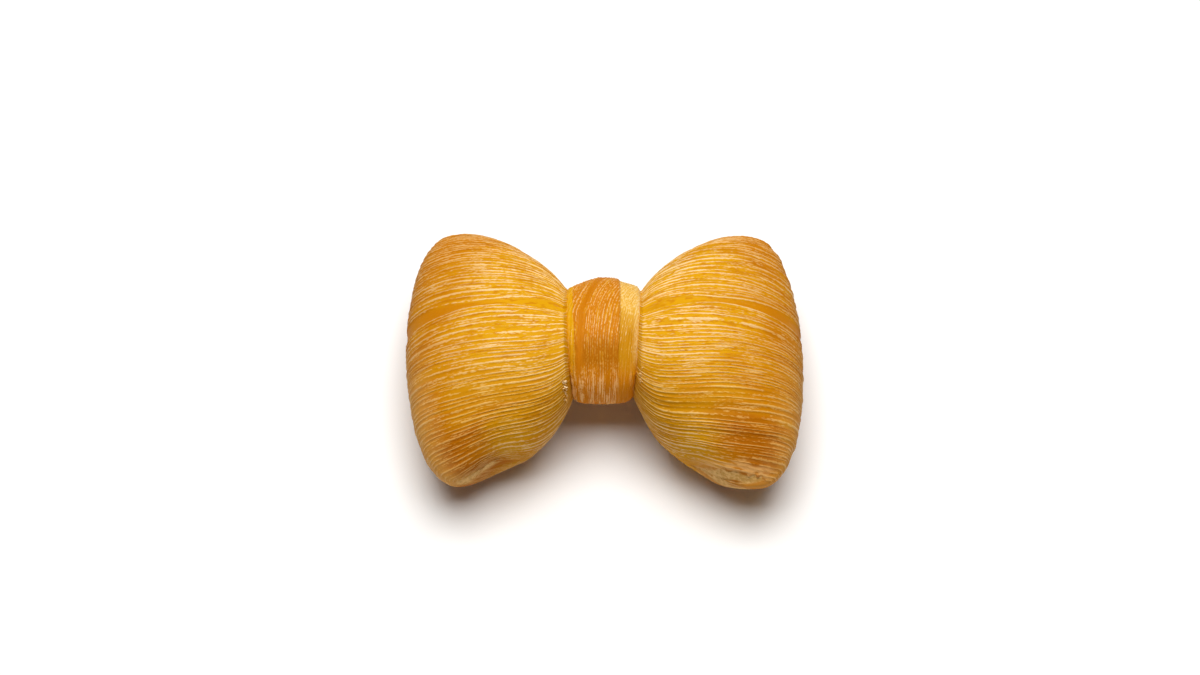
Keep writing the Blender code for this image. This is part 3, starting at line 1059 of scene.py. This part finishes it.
# %% [markdown]
# ## The dough of the lobes
#
# Fine fibres, drawn out along the layers, break the two kinds of colour up. The bare patch, its
# hem and its orange rim go over them, and the smooth foot goes last. A thin coat on the edges of
# the layers gives them their glint, and near the waist their paler colour is partly a painted glint.

# %% Bow dough
# The first cream is the colour of the painted glint on the edges near the waist.
GLINT_CREAM, END_CREAM = (0.88, 0.64, 0.30), (0.75, 0.48, 0.15)


def bow_dough():
    """The layers' colours, then the ember flecks, the dusty ends, the hem, the bare patch, the foot."""
    recipe = Recipe("bow_dough")
    uv = recipe.node("ShaderNodeUVMap", {"uv_map": "UVMap"})
    place = recipe.node("ShaderNodeTexCoord", output="Object")
    names = ("crest", "tone", "along", "share", "broad", "right_lobe")
    crest, tone, along, share, broad, right_lobe = (recipe.mask(name) for name in names)
    fibre = recipe.drawn_out(uv, 1.0, 22.0, 4.0, 0.65) - 0.5
    strand = recipe.drawn_out(uv, 1.3, 11.0) - 0.5
    fleck = recipe.drawn_out(uv, 7.0, 46.0) - 0.5
    patch = recipe.noise(place, 70.0) - 0.5

    amounts = bakes(along, share, right_lobe, patch, tone)
    between = baked(recipe, (GOLD, AMBER, ORANGE, DEEP), amounts)
    edges = baked(recipe, (CREAM, WHEAT, TAN, DEEP_TAN), amounts)
    # A painted glint: near the waist, on the top and the far side, the edges are painted paler where the
    # light strikes them.
    painted_glint = along.between(0.5, 0.1) * (1.0 - amounts[0]) * share.between(0.75, 0.4) * 0.45
    edges = recipe.mix(edges, GLINT_CREAM, painted_glint)
    embers = recipe.drawn_out(uv, 2.0, 15.0, scale=1.3).between(0.53, 0.62)
    embers = embers * (share + right_lobe * 0.3).between(-0.3, 0.0)
    between = recipe.mix(between, ORANGE, embers * 0.7)
    between = recipe.mix(between, ORANGE, broad * along.between(0.35, 0.6) * 0.7)
    pale = (crest + strand + fibre * 1.3 + fleck * 1.5).between(0.27, 0.57) * (1.0 - broad * 0.75)
    colour = recipe.mix(between, edges, pale)

    dusty = along.between(0.8, 1.0) * share.between(0.05, -0.3) * (0.32 - right_lobe * 0.12)
    hem = (recipe.mask("hem") * (0.75 + strand * 3.5 + fibre * 1.5)).between(0.1, 0.8)
    bare = recipe.mask("bare") + fleck * 0.6 + strand * 0.4
    rim = bare.between(0.05, 0.4) * bare.between(0.9, 0.5) * (right_lobe * 0.35 + 0.25)
    foot = recipe.mask("under") * share.between(-0.75, -0.5) * 0.8
    covers = (colour, END_CREAM, HEM_TAN, plain_dough(recipe, place, fibre), RIM_ORANGE, BASE_BROWN)
    colour = baked(recipe, covers, (dusty, hem * 0.7, bare.between(0.2, 0.7), rim, foot))
    recipe.glaze(uv, colour, crest.between(0.3, 1.0) * pale * 0.5, 0.22)
    return recipe.material


dough = bow_dough()
for lobe in lobes.values():
    lobe.data.materials.append(dough)
    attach(lobe, "root")
    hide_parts("bow")
print("lobes dressed in", dough.name)

# %% [markdown]
# ## The look of the crumbs
#
# The crumbs are the same dough, broken open, so they are dull and paler. Each keeps one tone of its
# own between a light brown and the cream of the inside.

# %% Crumb dough
CRUMB_BROWN, CRUMB_PALE = (0.60, 0.30, 0.04), (0.80, 0.62, 0.36)


def crumb_dough():
    """A dull dough between two tones, by the tone that each crumb holds."""
    recipe = Recipe("crumb_dough")
    recipe.set("Base Color", recipe.mix(CRUMB_BROWN, CRUMB_PALE, recipe.mask("pale")))
    recipe.set("Roughness", 0.6)
    recipe.set("Specular IOR Level", 0.03)
    return recipe.material


crumbs.data.materials.append(crumb_dough())
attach(crumbs, "root")
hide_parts("bow")
print("crumbs dressed")

# %% [markdown]
# ## The look of the band
#
# The middle of the band took the most egg wash and heat. It is orange-brown with pale, glinting
# edges on top, darker where it turns down towards the front, which is painted shade with random
# darker patches in it, and pale tan at the bottom, where the wash didn't reach. The low strip at its
# right is cream on top and golden below, the narrow one at its left is golden all the way, and a
# smooth orange streak runs down beside it.

# %% Band dough
BAND_BROWN, BAND_EDGE = (0.53, 0.18, 0.005), (0.70, 0.38, 0.12)
# The dark pair is painted shade where the band turns down towards the front; it also colours random darker
# patches.
BAND_DARK, BAND_DARK_EDGE = (0.40, 0.125, 0.002), (0.50, 0.22, 0.02)
BAND_TAN, BAND_TAN_EDGE = (0.62, 0.20, 0.003), (0.86, 0.48, 0.17)
STREAK_ORANGE, MATTE_TAN = (0.50, 0.155, 0.002), (0.56, 0.24, 0.035)
STRIP_CREAM, STRIP_PALE = (0.66, 0.36, 0.04), (0.78, 0.53, 0.20)
FRAYED_PALE = (0.70, 0.49, 0.20)


def band_middle(recipe, masks, noises):
    """The colour of the band's middle: orange-brown on top, painted shade at the turn and tan at the bottom.
    """
    strand, fibre, fleck, stripe, patch = noises
    around, streak = masks["around"], masks["streak"]
    # Painted shade where the band turns down towards the front, with random darker patches in it.
    shade_and_patches = (around.between(0.27, 0.33) + patch * 0.9 + masks["tone"] * 0.1).between(0.1, 0.9)
    tan = (around.between(0.355, 0.435) + patch * 0.5 + strand * 0.5).between(0.1, 0.9)
    between = baked(recipe, (BAND_BROWN, BAND_DARK, BAND_TAN), (shade_and_patches, tan))
    edges = baked(recipe, (BAND_EDGE, BAND_DARK_EDGE, BAND_TAN_EDGE), (shade_and_patches, tan))
    top_pale = masks["crest"] * 0.75 + strand + fibre + fleck * 2.2
    tan_pale = masks["crest"] * 0.5 + stripe * 2.6 + strand + fibre + fleck * 0.9 + 0.22
    tan_pale = tan_pale - masks["right"] * 0.5
    matte = around.between(0.13, 0.08)
    pale = (top_pale * (1.0 - tan) + tan_pale * tan).between(0.25, 0.6)
    pale = pale * (1.0 - streak * (1.0 - tan) * 0.8) * (1.0 - matte * 0.7)
    gilded = (strand * 3.0).between(0.1, 0.6) * (1.0 - shade_and_patches * 0.6) * 0.75
    between = baked(recipe, (between, GOLD, MATTE_TAN), (gilded, matte * 0.7))
    colour = baked(recipe, (between, edges, STREAK_ORANGE), (pale, streak * (1.0 - tan) * 0.85))
    return colour, pale, tan


def right_strip(recipe, masks, noises, tan):
    """The colour of the low strip at the right: cream on top, amber below, mottled and frayed."""
    strand, fibre, fleck, stripe, _ = noises
    around = masks["around"]
    golden = (around.between(0.22, 0.29) + strand * 1.2 + fleck * 0.6).between(0.0, 1.0)
    streaked = recipe.mix(BAND_TAN, BAND_TAN_EDGE, (stripe * 2.6 + strand + fibre).between(0.1, 0.5) * 0.8)
    mottled = (fibre * 1.2 + fleck * 2.0 + masks["crest"] * 0.4 - golden * 0.5).between(-0.05, 0.35)
    frayed = masks["across"].between(0.8, 0.98) * (fleck * 3.0 + 0.6).between(0.0, 1.0)
    covers = (STRIP_CREAM, AMBER, streaked, STRIP_PALE, FRAYED_PALE)
    return baked(recipe, covers, (golden, tan * 0.8, mottled, frayed * around.between(0.4, 0.34)))


def band_dough():
    """The middle's colour, then the strip at the right, then the narrow strip at the left."""
    recipe = Recipe("band_dough")
    uv = recipe.node("ShaderNodeUVMap", {"uv_map": "UVMap"})
    place = recipe.node("ShaderNodeTexCoord", output="Object")
    names = ("crest", "tone", "around", "right", "left", "streak", "low", "across")
    masks = {name: recipe.mask(name) for name in names}
    fibre = recipe.drawn_out(uv, 1.6, 22.0, 4.0, 0.65) - 0.5
    patch = recipe.noise(place, 160.0) - 0.5
    strand = recipe.drawn_out(uv, 1.6, 12.0) - 0.5
    fleck = recipe.drawn_out(uv, 11.0, 16.0) - 0.5
    stripe = recipe.drawn_out(uv, 0.7, 6.0, 3.0, 0.6) - 0.5
    noises = (strand, fibre, fleck, stripe, patch)

    colour, pale, tan = band_middle(recipe, masks, noises)
    strip_colour = right_strip(recipe, masks, noises, tan)
    side_strip = recipe.mix(GOLD, CREAM, (fibre * 1.5 + fleck).between(0.0, 0.6) * 0.5)
    low, left = masks["low"], masks["left"]
    fading = (1.0 - low * 0.8) * (1.0 - masks["around"].between(0.28, 0.36) * 0.5)
    amounts = (masks["right"] * (1.0 - low * 0.4), (left + fleck * left).between(0.3, 0.7) * fading)
    colour = baked(recipe, (colour, strip_colour, side_strip), amounts)
    recipe.glaze(uv, colour, masks["crest"].between(0.3, 1.0) * pale * 0.6, 0.2)
    return recipe.material


band.data.materials.append(band_dough())
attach(band, "root")
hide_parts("band")
print("band dressed")

# %% [markdown]
# ## Floor and light
#
# The bow lies on a plain white table. One large soft light above it plays the window, a faint one in
# front lifts the near side, and a weak warm glow from all round keeps the shadows brown. Large
# lights give soft edges to the shadows, and the low strength of the glow keeps the relief of the
# layers visible.

# %% Floor and light
FLOOR_HALF = 3.0
GLOW, GLOW_STRENGTH = (1.0, 0.88, 0.76, 1.0), 0.045


def make_floor():
    """One square of matte white."""
    corners = np.array([[-1, -1, 0], [1, -1, 0], [1, 1, 0], [-1, 1, 0]]) * FLOOR_HALF
    mesh = bpy.data.meshes.new("floor")
    mesh.from_pydata(corners.tolist(), [], [(0, 1, 2, 3)])
    recipe = Recipe("white_table")
    recipe.set("Base Color", (0.86, 0.86, 0.86))
    recipe.set("Roughness", 0.9)
    mesh.materials.append(recipe.material)
    floor = bpy.data.objects.new("floor", mesh)
    bpy.context.scene.collection.objects.link(floor)


def softbox(name, place, size, power, colour):
    """A square lamp that faces the middle of the table."""
    light = bpy.data.lights.new(name, "AREA")
    light.shape = "SQUARE"
    light.size = size
    light.energy = power
    light.color = colour
    lamp = bpy.data.objects.new(name, light)
    lamp.location = place
    lamp.rotation_euler = (-Vector(place)).to_track_quat("-Z", "Y").to_euler()
    bpy.context.scene.collection.objects.link(lamp)


def surrounding_light():
    """A weak, even, warm light from all round."""
    world = bpy.data.worlds.new("studio")
    world.use_nodes = True
    back = world.node_tree.nodes["Background"]
    back.inputs["Color"].default_value = GLOW
    back.inputs["Strength"].default_value = GLOW_STRENGTH
    bpy.context.scene.world = world


make_floor()
surrounding_light()
softbox("window", (0.0, 0.2, 1.2), 1.0, 23.0, (1.0, 0.99, 0.975))
softbox("front fill", (0.0, -1.1, 0.45), 0.8, 1.0, (1.0, 0.92, 0.80))
bpy.context.scene.view_settings.view_transform = "Standard"
print("lights:", ", ".join(light.name for light in bpy.data.lights))

# %% [markdown]
